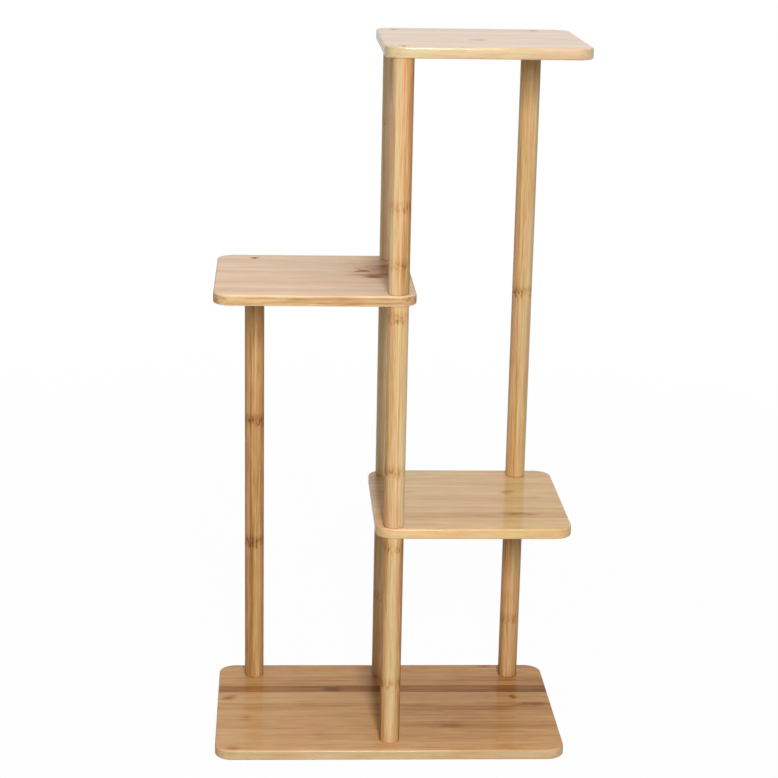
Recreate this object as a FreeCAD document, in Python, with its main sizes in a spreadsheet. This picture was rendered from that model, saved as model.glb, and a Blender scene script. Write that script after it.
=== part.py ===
"""Four-tier bamboo plant stand: a base board, three staggered shelves and nine round posts.

The stand rests on z = 0 with the origin under the middle of its base board. +X is its right side,
its front faces -Y and +Z is up. Every length is in millimetres.

Each post has a blind hole in both ends with a threaded insert in it. Where a post carries on above
a shelf, a stud runs through the shelf from the one post into the next. Where a post ends under a
shelf, a countersunk bolt comes down through the shelf, and the four posts that stand on the base
board are held by countersunk bolts that come up through it.
"""

import FreeCAD, Part
import math
import os
from collections import namedtuple

import Sketcher

# Driving dimensions, in millimetres: name, value, what it measures.
DIMENSIONS = [
    ("base_length", 400, "base board, along X"),
    ("base_depth", 250, "base board, along Y"),
    ("shelf_length", 220, "each of the three shelves, along X"),
    ("shelf_depth", 220, "each of the three shelves, along Y"),
    ("shelf_setback", 18, "front edges of the shelves, behind the front edge of the base"),
    ("board_thick", 12, "every board"),
    ("corner_radius", 20, "corners of the boards, seen from above"),
    ("edge_round", 2, "rounding of the boards' upper and lower edges"),
    ("post_dia", 23, "every post"),
    ("post_bevel", 1, "bevel round both ends of a post"),
    ("lower_gap", 248, "clear height from the base board to the lower shelf"),
    ("upper_gap", 252, "clear height from each shelf to the next"),
    ("side_inset", 43, "axes of the side posts, from the ends of the base board"),
    ("front_inset", 12, "axes of the front posts, behind the front edges of the shelves"),
    ("row_spacing", 190, "axes of the rear posts, behind those of the front posts"),
    ("centre_x", 0, "axes of the centre posts, and the middle of the base board"),
    ("centre_y", 0, "middle of the base board"),
    ("floor_z", 0, "underside of the base board"),
    ("insert_dia", 9, "outside of a threaded insert"),
    ("insert_length", 15, "threaded insert"),
    ("insert_bevel", 0.6, "bevel round the outside of an insert's ends"),
    ("thread_dia", 6, "studs, bolt shanks and the bores of the inserts"),
    ("thread_bevel", 0.8, "bevel round the ends of studs and bolts"),
    ("drill_dia", 6.5, "holes through the boards, and the holes behind the inserts"),
    ("drill_depth", 24, "hole in the end of a post"),
    ("stud_length", 50, "stud that joins two posts through a shelf"),
    ("bolt_length", 32, "countersunk bolt, with its head"),
    ("head_dia", 11, "bolt head"),
    ("head_rim", 0.4, "straight rim of the bolt head, above its cone"),
    ("head_sink", 0.3, "top of the bolt head, below the face of the board"),
    ("socket_width", 4, "hexagon socket of the bolt, across its flats"),
    ("socket_depth", 2.6, "hexagon socket of the bolt"),
]

# Dimensions that follow from the driving ones: name, formula, what it measures.
DERIVED = [
    ("lower_z", "board_thick + lower_gap", "underside of the lower shelf"),
    ("middle_z", "lower_z + board_thick + upper_gap", "underside of the middle shelf"),
    ("top_z", "middle_z + board_thick + upper_gap", "underside of the top shelf"),
    ("left_post_length", "middle_z - board_thick", "post from the base to the middle shelf"),
    ("right_post_length", "top_z - lower_z - board_thick", "post from the lower shelf to the top"),
    ("right_shelf_x", "(base_length - shelf_length) / 2", "middle of the lower and top shelves"),
    ("left_shelf_x", "(shelf_length - base_length) / 2", "middle of the middle shelf"),
    ("shelf_y", "shelf_setback + (shelf_depth - base_depth) / 2", "middle of every shelf"),
    ("left_x", "side_inset - base_length / 2", "axis of the left post"),
    ("right_x", "base_length / 2 - side_inset", "axis of the right posts"),
    ("front_y", "shelf_y - shelf_depth / 2 + front_inset", "axes of the front posts"),
    ("rear_y", "front_y + row_spacing", "axes of the rear posts"),
    ("cone_height", "(head_dia - thread_dia) / 2", "cone of the bolt head, at 90 degrees"),
    ("sink_dia", "head_dia + 2 * (head_sink + head_rim)", "mouth of a countersink, at 90 degrees"),
]

DRILL_POINT_DEG = 118
CONE_DEG = 90
HEX_SIDES = 6
# A hexagon's width across its corners, for a width of one across its flats.
ACROSS_CORNERS = round(1 / math.cos(math.pi / HEX_SIDES), 6)
UPSIDE_DOWN = FreeCAD.Rotation(FreeCAD.Vector(1, 0, 0), 180)
UPRIGHT = FreeCAD.Rotation()

# The upright lines that the posts stand on: name to (x, y).
AXES = {
    "left": ("left_x", "rear_y"),
    "centre_front": ("centre_x", "front_y"),
    "centre_rear": ("centre_x", "rear_y"),
    "right": ("right_x", "rear_y"),
}

# x and y are the middle of a board and z is its underside. Bolts are sunk into it at some axes, and
# studs pass through it at others.
Board = namedtuple("Board", "name length depth x y z sunk drilled")
BASE = Board("base_board", "base_length", "base_depth", "centre_x", "centre_y", "floor_z",
             sunk=list(AXES), drilled=[])
LOWER = Board("lower_shelf", "shelf_length", "shelf_depth", "right_shelf_x", "shelf_y", "lower_z",
              sunk=[], drilled=["centre_front", "centre_rear", "right"])
MIDDLE = Board("middle_shelf", "shelf_length", "shelf_depth", "left_shelf_x", "shelf_y",
               "middle_z", sunk=["left"], drilled=["centre_front", "centre_rear"])
TOP = Board("top_shelf", "shelf_length", "shelf_depth", "right_shelf_x", "shelf_y", "top_z",
            sunk=["centre_front", "centre_rear", "right"], drilled=[])

# A post stands on the board whose underside is at z.
Post = namedtuple("Post", "name axis length z")
POSTS = [
    Post("left_post", "left", "left_post_length", "floor_z"),
    Post("centre_front_post_lower", "centre_front", "lower_gap", "floor_z"),
    Post("centre_front_post_middle", "centre_front", "upper_gap", "lower_z"),
    Post("centre_front_post_upper", "centre_front", "upper_gap", "middle_z"),
    Post("centre_rear_post_lower", "centre_rear", "lower_gap", "floor_z"),
    Post("centre_rear_post_middle", "centre_rear", "upper_gap", "lower_z"),
    Post("centre_rear_post_upper", "centre_rear", "upper_gap", "middle_z"),
    Post("right_post_lower", "right", "lower_gap", "floor_z"),
    Post("right_post_upper", "right", "right_post_length", "lower_z"),
]

doc = FreeCAD.newDocument("PlantStand")
sheet = doc.addObject("Spreadsheet::Sheet", "Dimensions")


def fill_sheet():
    """Writes the driving dimensions as plain numbers, and below them those that follow."""
    rows = [(name, str(value), note) for name, value, note in DIMENSIONS]
    rows += [(name, f"={formula}", note) for name, formula, note in DERIVED]
    for row, (name, content, note) in enumerate(rows, start=1):
        sheet.set(f"A{row}", name)
        sheet.set(f"B{row}", content)
        sheet.setAlias(f"B{row}", name)
        sheet.set(f"C{row}", note)
    doc.recompute()


def size(name):
    """A dimension's value, for the first guess of a sketch whose constraints then hold it."""
    return float(getattr(sheet, name))


def bound(formula):
    """A formula in the sheet's names, as an object outside the sheet has to write it."""
    known = {name for name, _, _ in DIMENSIONS + DERIVED}
    words = formula.replace("(", "( ").replace(")", " )").split()
    return " ".join(f"{sheet.Name}.{word}" if word in known else word for word in words)


def bind(item, **formulas):
    """Ties properties of an object to the sheet. A dot in a property's name is written __."""
    for name, formula in formulas.items():
        item.setExpression(name.replace("__", "."), bound(formula))


def new_body(name):
    body = doc.addObject("PartDesign::Body", name)
    body.Label = name
    return body


def attach(body, item, height=None):
    """Lays a sketch or primitive on the body's own XY plane, lifted by a formula if one is given."""
    plane = next(face for face in body.Origin.OriginFeatures if face.Role == "XY_Plane")
    item.AttachmentSupport = [(plane, "")]
    item.MapMode = "FlatFace"
    if height:
        bind(item, AttachmentOffset__Base__z=height)
    return item


def new_sketch(body, name, height=None):
    return attach(body, body.newObject("Sketcher::SketchObject", name), height)


def hold(sketch, name, formula, *constraint):
    """Adds a sketch constraint whose value follows a formula."""
    index = sketch.addConstraint(Sketcher.Constraint(*constraint))
    sketch.renameConstraint(index, name)
    sketch.setExpression(f"Constraints.{name}", bound(formula))


def add_circle(sketch, name, diameter, x="centre_x", y="centre_y"):
    """A circle whose place in the sketch is given by two formulas."""
    circle = Part.Circle(FreeCAD.Vector(0, 0, 0), FreeCAD.Vector(0, 0, 1), size(diameter) / 2)
    index = sketch.addGeometry(circle, False)
    hold(sketch, f"{name}_dia", diameter, "Diameter", index, size(diameter))
    hold(sketch, f"{name}_x", x, "DistanceX", -1, 1, index, 3, 0.0)
    hold(sketch, f"{name}_y", y, "DistanceY", -1, 1, index, 3, 0.0)


def add_rounded_rectangle(sketch, length, depth, radius):
    """A rectangle round the sketch's origin, with a quarter circle at each corner."""
    r = size(radius)
    inner_x = size(length) / 2 - r
    inner_y = size(depth) / 2 - r
    arcs = []
    for turn, (x_side, y_side) in enumerate([(1, 1), (-1, 1), (-1, -1), (1, -1)]):
        middle = FreeCAD.Vector(x_side * inner_x, y_side * inner_y, 0)
        circle = Part.Circle(middle, FreeCAD.Vector(0, 0, 1), r)
        begin = turn * math.pi / 2
        arc = Part.ArcOfCircle(circle, begin, begin + math.pi / 2)
        arcs.append(sketch.addGeometry(arc, False))
    for turn, arc in enumerate(arcs):
        following = arcs[(turn + 1) % len(arcs)]
        line = Part.LineSegment(sketch.getPoint(arc, 2), sketch.getPoint(following, 1))
        side = sketch.addGeometry(line, False)
        sketch.addConstraint(Sketcher.Constraint("Tangent", arc, 2, side, 1))
        sketch.addConstraint(Sketcher.Constraint("Tangent", side, 2, following, 1))
        sketch.addConstraint(Sketcher.Constraint(["Horizontal", "Vertical"][turn % 2], side))
    hold(sketch, "corner", radius, "Radius", arcs[0], r)
    for arc in arcs[1:]:
        sketch.addConstraint(Sketcher.Constraint("Equal", arcs[0], arc))
    hold(sketch, "inner_x", f"{length} / 2 - {radius}", "DistanceX", -1, 1, arcs[0], 3, inner_x)
    hold(sketch, "inner_y", f"{depth} / 2 - {radius}", "DistanceY", -1, 1, arcs[0], 3, inner_y)
    sketch.addConstraint(Sketcher.Constraint("Symmetric", arcs[0], 3, arcs[2], 3, -1, 1))


def rim_edges(feature, *heights):
    """The names of a feature's edges that lie wholly at one of these heights."""
    names = []
    for index, edge in enumerate(feature.Shape.Edges, start=1):
        box = edge.BoundBox
        flat = box.ZLength < 1e-6
        if flat and any(abs(box.ZMin - height) < 1e-6 for height in heights):
            names.append(f"Edge{index}")
    return names


def ease(body, kind, feature, formula, *heights):
    """Rounds or bevels the edges of a feature at these heights: kind is Fillet or Chamfer."""
    eased = body.newObject(f"PartDesign::{kind}", f"{body.Name}_{kind.lower()}")
    eased.Base = (feature, rim_edges(feature, *heights))
    bind(eased, **{"Radius" if kind == "Fillet" else "Size": formula})
    doc.recompute()
    return eased


def drill(body, sketch, upwards, **cut):
    """Holes at the circles of a sketch, from its plane down or, if asked, upwards."""
    solid = body.Shape.Volume
    hole = body.newObject("PartDesign::Hole", f"{sketch.Name}_hole")
    hole.Profile = sketch
    doc.recompute()
    hole.ThreadType = "None"
    hole.Reversed = upwards
    for name, value in cut.items():
        setattr(hole, name, value)
    bind(hole, Diameter="drill_dia")
    doc.recompute()
    if hole.Shape.isNull() or hole.Shape.Volume >= solid:
        raise RuntimeError(f"{hole.Name} removes nothing")
    return hole


def sketch_axes(body, board, name, axes, height):
    """A sketch with a circle at each of these axes, in the board's own frame."""
    sketch = new_sketch(body, f"{board.name}_{name}", height)
    for axis in axes:
        x, y = AXES[axis]
        add_circle(sketch, axis, "drill_dia", f"{x} - {board.x}", f"{y} - {board.y}")
    return sketch


def make_board(board):
    """A board with rounded corners and edges, its holes drilled and countersunk."""
    body = new_body(board.name)
    outline = new_sketch(body, f"{board.name}_outline")
    add_rounded_rectangle(outline, board.length, board.depth, "corner_radius")
    slab = body.newObject("PartDesign::Pad", f"{board.name}_slab")
    slab.Profile = outline
    bind(slab, Length="board_thick")
    doc.recompute()
    ease(body, "Fillet", slab, "edge_round", 0, size("board_thick"))
    if board.drilled:
        sketch = sketch_axes(body, board, "stud_places", board.drilled, "board_thick")
        drill(body, sketch, False, DepthType="ThroughAll")
    if board.sunk:
        from_below = board is BASE
        height = "floor_z" if from_below else "board_thick"
        sketch = sketch_axes(body, board, "bolt_places", board.sunk, height)
        hole = drill(body, sketch, from_below, DepthType="ThroughAll",
                     HoleCutType="Countersink", HoleCutCountersinkAngle=CONE_DEG)
        bind(hole, HoleCutDiameter="sink_dia")
    bind(body, Placement__Base__x=board.x, Placement__Base__y=board.y, Placement__Base__z=board.z)
    doc.recompute()
    return body


def make_post(post):
    """A round post, bevelled at both ends, with a stepped blind hole in each."""
    body = new_body(post.name)
    section = new_sketch(body, f"{post.name}_section")
    add_circle(section, "post", "post_dia")
    rod = body.newObject("PartDesign::Pad", f"{post.name}_rod")
    rod.Profile = section
    rod.Midplane = True
    bind(rod, Length=post.length)
    doc.recompute()
    half = size(post.length) / 2
    ease(body, "Chamfer", rod, "post_bevel", -half, half)
    sketch = new_sketch(body, f"{post.name}_head_place", f"{post.length} / 2")
    add_circle(sketch, "head", "drill_dia")
    hole = drill(body, sketch, False, DepthType="Dimension", DrillPoint="Angled",
                 DrillPointAngle=DRILL_POINT_DEG, HoleCutType="Counterbore")
    bind(hole, Depth="drill_depth", HoleCutDiameter="insert_dia", HoleCutDepth="insert_length")
    both = body.newObject("PartDesign::Mirrored", f"{post.name}_both_ends")
    both.Originals = [hole]
    both.MirrorPlane = (section.AttachmentSupport[0][0], [""])
    body.Tip = both
    x, y = AXES[post.axis]
    bind(body, Placement__Base__x=x, Placement__Base__y=y,
         Placement__Base__z=f"{post.z} + board_thick + {post.length} / 2")
    doc.recompute()
    return body


def add_primitive(body, kind, name, height, **formulas):
    """Adds a solid to the body or cuts one from it, with its underside at this height."""
    item = attach(body, body.newObject(f"PartDesign::{kind}", f"{body.Name}_{name}"), height)
    bind(item, **formulas)
    return item


def make_bolt():
    """A countersunk bolt with a hexagon socket. The face of its board is at z = 0."""
    body = new_body("bolt")
    tip = "0 - head_sink - bolt_length"
    under_cone = "0 - head_sink - head_rim - cone_height"
    under_rim = "0 - head_sink - head_rim"
    shank = add_primitive(body, "AdditiveCylinder", "shank", tip, Radius="thread_dia / 2",
                          Height="bolt_length - head_rim - cone_height")
    doc.recompute()
    ease(body, "Chamfer", shank, "thread_bevel", -size("head_sink") - size("bolt_length"))
    add_primitive(body, "AdditiveCone", "cone", under_cone, Radius1="thread_dia / 2",
                  Radius2="head_dia / 2", Height="cone_height")
    add_primitive(body, "AdditiveCylinder", "rim", under_rim, Radius="head_dia / 2",
                  Height="head_rim")
    socket = add_primitive(body, "SubtractivePrism", "socket", "0 - head_sink - socket_depth",
                           Circumradius=f"socket_width / 2 * {ACROSS_CORNERS}",
                           Height="socket_depth")
    socket.Polygon = HEX_SIDES
    doc.recompute()
    return body


def make_stud():
    """A plain stud, bevelled at both ends. Its middle is at z = 0."""
    body = new_body("stud")
    rod = add_primitive(body, "AdditiveCylinder", "rod", "0 - stud_length / 2",
                        Radius="thread_dia / 2", Height="stud_length")
    doc.recompute()
    half = size("stud_length") / 2
    ease(body, "Chamfer", rod, "thread_bevel", -half, half)
    return body


def make_insert():
    """A threaded insert with a bore right through. One end is at z = 0."""
    body = new_body("insert")
    sleeve = add_primitive(body, "AdditiveCylinder", "sleeve", "floor_z", Radius="insert_dia / 2",
                           Height="insert_length")
    doc.recompute()
    ease(body, "Chamfer", sleeve, "insert_bevel", 0, size("insert_length"))
    add_primitive(body, "SubtractiveCylinder", "bore", "floor_z", Radius="thread_dia / 2",
                  Height="insert_length")
    doc.recompute()
    return body


def make_set(name, fastener, places, rotation=UPRIGHT):
    """One group of like fasteners, a separate solid at each (axis, height formula)."""
    links = []
    for axis, height in places:
        link = doc.addObject("App::Link", f"{name}_{axis}_{len(links) + 1}")
        link.LinkedObject = fastener
        link.Placement = FreeCAD.Placement(FreeCAD.Vector(0, 0, 0), rotation)
        x, y = AXES[axis]
        bind(link, Placement__Base__x=x, Placement__Base__y=y, Placement__Base__z=height)
        links.append(link)
    group = doc.addObject("Part::Compound", name)
    group.Label = name
    group.Links = links
    doc.recompute()
    return group


def at_axes(axes, height):
    return [(axis, height) for axis in axes]


def make_fasteners():
    """Every group of bolts, studs and inserts."""
    bolt, stud, insert = make_bolt(), make_stud(), make_insert()
    feet = [(post.axis, f"{post.z} + board_thick") for post in POSTS]
    heads = [(axis, f"{foot} + {post.length} - insert_length")
             for post, (axis, foot) in zip(POSTS, feet)]
    return [
        make_set("base_bolts", bolt, at_axes(BASE.sunk, BASE.z), UPSIDE_DOWN),
        make_set("middle_shelf_bolt", bolt, at_axes(MIDDLE.sunk, f"{MIDDLE.z} + board_thick")),
        make_set("top_shelf_bolts", bolt, at_axes(TOP.sunk, f"{TOP.z} + board_thick")),
        make_set("lower_shelf_studs", stud, at_axes(LOWER.drilled, f"{LOWER.z} + board_thick / 2")),
        make_set("middle_shelf_studs", stud,
                 at_axes(MIDDLE.drilled, f"{MIDDLE.z} + board_thick / 2")),
        make_set("post_foot_inserts", insert, feet),
        make_set("post_head_inserts", insert, heads),
    ]


def check(parts):
    """Stops if any object of the document failed, or a part isn't the solids it should be."""
    for item in doc.Objects:
        if "Invalid" in item.State or "Error" in item.State:
            raise RuntimeError(f"{item.Name} is {item.State}")
    for part in parts:
        if part.Shape.isNull() or not part.Shape.isValid():
            raise RuntimeError(f"{part.Label} has no valid shape")
        pieces = len(part.Links) if hasattr(part, "Links") else 1
        if len(part.Shape.Solids) != pieces:
            raise RuntimeError(f"{part.Label} has {len(part.Shape.Solids)} solids, not {pieces}")


def export(parts):
    os.makedirs("parts", exist_ok=True)
    for part in parts:
        part.Shape.exportStep(f"parts/{part.Label}.step")
        print(f"{part.Label}: {len(part.Shape.Solids)} solids, {part.Shape.Volume:.0f} mm3")


fill_sheet()
parts = [make_board(board) for board in (BASE, LOWER, MIDDLE, TOP)]
parts += [make_post(post) for post in POSTS]
parts += make_fasteners()
check(parts)
export(parts)
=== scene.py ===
"""Looks of a tiered bamboo plant stand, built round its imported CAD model.

Every board, post and fastener of the frame is rebuilt here as a finer mesh of the same size in the
same place, and gets the finish of the real thing: lacquered bamboo and zinc-plated steel. Lengths
are in metres, apart from those that a name or a docstring gives in millimetres.
"""

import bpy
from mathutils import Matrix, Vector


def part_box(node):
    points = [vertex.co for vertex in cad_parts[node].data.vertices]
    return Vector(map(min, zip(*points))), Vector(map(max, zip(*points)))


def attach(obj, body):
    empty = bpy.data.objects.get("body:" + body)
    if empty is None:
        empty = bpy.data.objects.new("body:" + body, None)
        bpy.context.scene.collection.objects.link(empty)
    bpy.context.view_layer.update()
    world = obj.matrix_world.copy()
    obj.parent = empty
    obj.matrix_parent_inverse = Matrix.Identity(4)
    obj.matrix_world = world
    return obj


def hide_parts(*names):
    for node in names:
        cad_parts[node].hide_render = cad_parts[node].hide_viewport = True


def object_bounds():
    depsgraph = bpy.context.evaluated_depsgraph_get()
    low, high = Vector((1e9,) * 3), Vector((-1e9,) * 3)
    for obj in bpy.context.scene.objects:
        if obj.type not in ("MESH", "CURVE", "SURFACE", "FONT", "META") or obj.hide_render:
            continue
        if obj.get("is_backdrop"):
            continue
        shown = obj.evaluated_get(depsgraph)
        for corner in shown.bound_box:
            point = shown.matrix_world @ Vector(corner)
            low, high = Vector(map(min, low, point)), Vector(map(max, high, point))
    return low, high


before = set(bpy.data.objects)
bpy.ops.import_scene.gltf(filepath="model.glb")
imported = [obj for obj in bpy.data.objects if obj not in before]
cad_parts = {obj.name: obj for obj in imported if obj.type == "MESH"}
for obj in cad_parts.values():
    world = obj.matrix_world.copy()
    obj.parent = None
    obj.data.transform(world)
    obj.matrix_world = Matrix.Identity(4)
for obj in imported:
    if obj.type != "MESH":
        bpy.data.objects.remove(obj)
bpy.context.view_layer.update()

import logging
import math
from abc import ABC, abstractmethod
from dataclasses import dataclass, field
from enum import Enum
from itertools import pairwise
from typing import Any, ClassVar

import bpy
import numpy as np
from mathutils import Vector
from mathutils.geometry import tessellate_polygon

LOG = logging.getLogger("plant_stand")
MM = 0.001
ROOT = "root"
WHITE = (1.0, 1.0, 1.0, 1.0)
NOISE_MEAN = 0.5

# The attributes that the materials read: the place in the wood, how far onto the rounded rim a
# point lies, a post's tone with its painted light and shade, the heights and depth of its nodes,
# and where a bolt's socket gets painted shade.
GRAIN = "grain"
RIM = "rim"
TONE = "tone"
NODES = "nodes"
PAINTED_SOCKET_SHADE = "painted_socket_shade"

# A row of a turned profile: its radius and its height, each a number or one value a step.
Row = tuple[float | np.ndarray, float | np.ndarray]


def linear(code: str) -> tuple[float, float, float, float]:
    """Turns an sRGB colour into the linear values that a shader works in.

    Args:
        code: The colour as #RRGGBB.

    Returns:
        Red, green and blue from 0 to 1, and an alpha of 1.
    """
    channels = np.array([int(code[start:start + 2], 16) for start in (1, 3, 5)]) / 255
    low = channels / 12.92
    high = ((channels + 0.055) / 1.055) ** 2.4
    red, green, blue = np.where(channels <= 0.04045, low, high).tolist()
    return red, green, blue, 1.0


class Graph:
    """The node tree of a material or a world."""

    def __init__(self, owner: bpy.types.Material | bpy.types.World) -> None:
        """Empties the owner's node tree, to fill it anew.

        Args:
            owner: The material or the world.
        """
        owner.use_nodes = True
        self.tree = owner.node_tree
        self.tree.nodes.clear()

    def add(self, kind: str, *inputs: Any, named: dict[Any, Any] | None = None,
            stops: list[tuple[float, tuple[float, ...]]] | None = None,
            **settings: Any) -> bpy.types.Node:
        """Adds a node with its settings, its values and its links.

        Args:
            kind: The node's type, without the word ShaderNode that every type starts with.
            *inputs: What goes into its first inputs: a node, whose first output is linked, a
                socket, a value, or None to leave an input as it is.
            named: More inputs, by name or number. A Mix node mixes numbers at 2 and 3, and
                colours at 6 and 7, whose result is its output 2.
            stops: The places and colours of a colour ramp.
            **settings: The node's own properties.

        Returns:
            The node.
        """
        node = self.tree.nodes.new(f"ShaderNode{kind}")
        for name, value in settings.items():
            setattr(node, name, value)
        for key, value in [*enumerate(inputs), *(named or {}).items()]:
            if isinstance(value, bpy.types.Node):
                value = value.outputs[0]
            if isinstance(value, bpy.types.NodeSocket):
                self.tree.links.new(value, node.inputs[key])
            elif value is not None:
                node.inputs[key].default_value = value
        for index, (place, colour) in enumerate(stops or []):
            elements = node.color_ramp.elements
            element = elements[index] if index < len(elements) else elements.new(place)
            element.position = place
            element.color = colour
        return node


@dataclass
class Shell:
    """A closed surface of triangles, gathered patch by patch, with a normal at every corner."""

    corners: list[np.ndarray] = field(default_factory=list)
    normals: list[np.ndarray] = field(default_factory=list)

    # A normal shorter than this has no direction. That is so at a pole, where a ring is a point.
    NO_LENGTH: ClassVar[float] = 1e-14
    # Lengths are raised to this before a normal is divided by them.
    ABOVE_ZERO: ClassVar[float] = 1e-20
    # Corners are rounded to this many decimals of a metre, and then equal ones are one point.
    DECIMALS: ClassVar[int] = 8

    def add_grid(self, points: np.ndarray, inside: bool = False) -> None:
        """Adds a patch given as rows of points, each row a closed ring.

        A point's normal is the cross product of the steps along its column and along its ring. It
        points out of the solid when the rows go down the outside or up the wall of a hole.

        Args:
            points: Rows by columns by (x, y, z), with the columns anticlockwise from above.
            inside: True for rows that go the other way, down the wall of a hole or up the outside.
        """
        rows = len(points)
        ahead = np.roll(points, -1, axis=1)
        along_ring = ahead - np.roll(points, 1, axis=1)
        along_column = np.gradient(points, axis=0, edge_order=min(2, rows - 1))
        normals = np.cross(along_column, along_ring)
        lengths = np.linalg.norm(normals, axis=2, keepdims=True)
        normals = normals / np.maximum(lengths, self.ABOVE_ZERO)
        for pole, beside in ((0, 1), (-1, -2)):
            if lengths[pole].max() < self.NO_LENGTH:
                normals[pole] = normals[beside]
        if inside:
            normals = -normals
        for values, store in ((points, self.corners), (normals, self.normals)):
            across = np.roll(values, -1, axis=1)
            quads = (values[:-1], values[1:], across[1:], across[:-1])
            for picks in ((0, 1, 2), (0, 2, 3)):
                store.append(np.stack([quads[pick] for pick in picks], axis=2).reshape(-1, 3, 3))

    def add_turned(self, profile: list[Row], steps: int, x: float, y: float,
                   inside: bool = False) -> None:
        """Turns a profile about an upright axis, with a sharp edge at each of its rows.

        Args:
            profile: Its rows of (radius, height).
            steps: Points a row.
            x: Where the axis stands.
            y: Where the axis stands.
            inside: As for a grid.
        """
        for stretch in pairwise(profile):
            self.add_grid(turn_profile(list(stretch), steps, x, y), inside)

    def add_flat(self, loops: list[np.ndarray], height: float, up: bool) -> None:
        """Adds a level face.

        Args:
            loops: The outline, and the outlines of the holes in it, each as rows of (x, y).
            height: Its height.
            up: True for a face that looks up.
        """
        points = np.vstack([np.c_[loop, np.full(len(loop), height)] for loop in loops])
        outlines = [[tuple(point) + (height,) for point in loop.tolist()] for loop in loops]
        triangles = np.array(tessellate_polygon(outlines))
        self.corners.append(points[triangles])
        normal = np.array([0.0, 0.0, 1.0 if up else -1.0])
        self.normals.append(np.broadcast_to(normal, (len(triangles), 3, 3)))

    def weld(self) -> tuple[np.ndarray, np.ndarray, np.ndarray]:
        """Joins corners that lie at one point and turns every triangle to face outwards.

        Returns:
            The points, three point numbers a triangle, and three normals a triangle.
        """
        corners = np.round(np.concatenate(self.corners).reshape(-1, 3), self.DECIMALS)
        normals = np.concatenate(self.normals)
        points, number = np.unique(corners, axis=0, return_inverse=True)
        triangles = number.reshape(-1, 3)
        following = np.roll(triangles, 1, axis=1)
        whole = (triangles != following).all(axis=1)
        triangles, normals = triangles[whole], normals[whole]
        first, second, third = (points[triangles[:, side]] for side in range(3))
        facing = np.cross(second - first, third - first)
        inward = (facing * normals.sum(axis=1)).sum(axis=1) < 0
        triangles[inward] = triangles[inward][:, ::-1]
        normals[inward] = normals[inward][:, ::-1]
        return points, triangles, normals

    def make(self, name: str, material: bpy.types.Material) -> bpy.types.Object:
        """Makes the Blender object, at the origin.

        Args:
            name: The object's name.
            material: Its finish.

        Returns:
            The object.
        """
        points, triangles, normals = self.weld()
        mesh = bpy.data.meshes.new(name)
        mesh.from_pydata(points.tolist(), [], triangles.tolist())
        mesh.polygons.foreach_set("use_smooth", np.ones(len(triangles), bool))
        mesh.normals_split_custom_set(normals.reshape(-1, 3).tolist())
        mesh.materials.append(material)
        piece = bpy.data.objects.new(name, mesh)
        bpy.context.scene.collection.objects.link(piece)
        LOG.info("%s: %d triangles", name, len(triangles))
        return piece


def circle(radius: float, steps: int, x: float, y: float) -> np.ndarray:
    """Points (x, y) on a circle, anticlockwise: centre + radius (cos a, sin a)."""
    angle = np.linspace(0, 2 * np.pi, steps, endpoint=False)
    return np.c_[x + radius * np.cos(angle), y + radius * np.sin(angle)]


def turn_profile(profile: list[Row], steps: int, x: float, y: float) -> np.ndarray:
    """Turns rows of (radius, height) about an upright axis.

    The point at angle a of a row is (x + r cos a, y + r sin a, z). A radius with one value a step
    gives a form that isn't round.

    Args:
        profile: The rows.
        steps: Points a row.
        x: Where the axis stands.
        y: Where the axis stands.

    Returns:
        Rows by steps by (x, y, z).
    """
    angle = np.linspace(0, 2 * np.pi, steps, endpoint=False)
    radius = np.array([np.broadcast_to(row[0], steps) for row in profile], float)
    height = np.array([np.broadcast_to(row[1], steps) for row in profile], float)
    return np.stack([x + radius * np.cos(angle), y + radius * np.sin(angle), height], axis=2)


def write_attribute(piece: bpy.types.Object, name: str, values: np.ndarray) -> None:
    """Gives every point of a piece a number or a vector for its material to read.

    Args:
        piece: The piece.
        name: The attribute's name.
        values: One row a point.
    """
    kind, key = ("FLOAT", "value") if values.ndim == 1 else ("FLOAT_VECTOR", "vector")
    attribute = piece.data.attributes.new(name, kind, "POINT")
    attribute.data.foreach_set(key, values.astype(np.float32).ravel())


def read_points(piece: bpy.types.Object) -> np.ndarray:
    """Reads a piece's points back.

    Args:
        piece: The piece.

    Returns:
        One row of (x, y, z) a point.
    """
    points = np.zeros(len(piece.data.vertices) * 3, np.float32)
    piece.data.vertices.foreach_get("co", points)
    return points.reshape(-1, 3).astype(float)


def stand_in(piece: bpy.types.Object, node: str) -> None:
    """Lets a piece ride on the stand in place of a CAD node.

    Args:
        piece: The piece.
        node: The node that it replaces.
    """
    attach(piece, ROOT)
    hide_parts(node)


def post_axis(node: str) -> tuple[float, float]:
    """Where a post's axis stands: the middle of its box in the frame, as (x, y)."""
    low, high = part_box(node)
    return (low.x + high.x) / 2, (low.y + high.y) / 2


@dataclass(frozen=True)
class Strip:
    """A strip of a board: the place of its front edge, in mm from the middle of the board, and its
    tone at the left and at the right end.
    """

    front: float
    left: float
    right: float


@dataclass(frozen=True)
class Knot:
    """A dark smudge where a node of the cane was planed through, or a painted shadow, in
    millimetres
    from the middle of the board: its place, its half-length along the grain, its half-width and
    its depth of tone.
    """

    x: float
    y: float
    length: float
    width: float
    depth: float


@dataclass(frozen=True)
class Layer:
    """One layer of the fibres: how long and wide its streaks are, in mm, how fine its detail is,
    and how strong they are where they change the tone.
    """

    length: float
    width: float
    detail: float
    amount: float = 0.0


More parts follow.
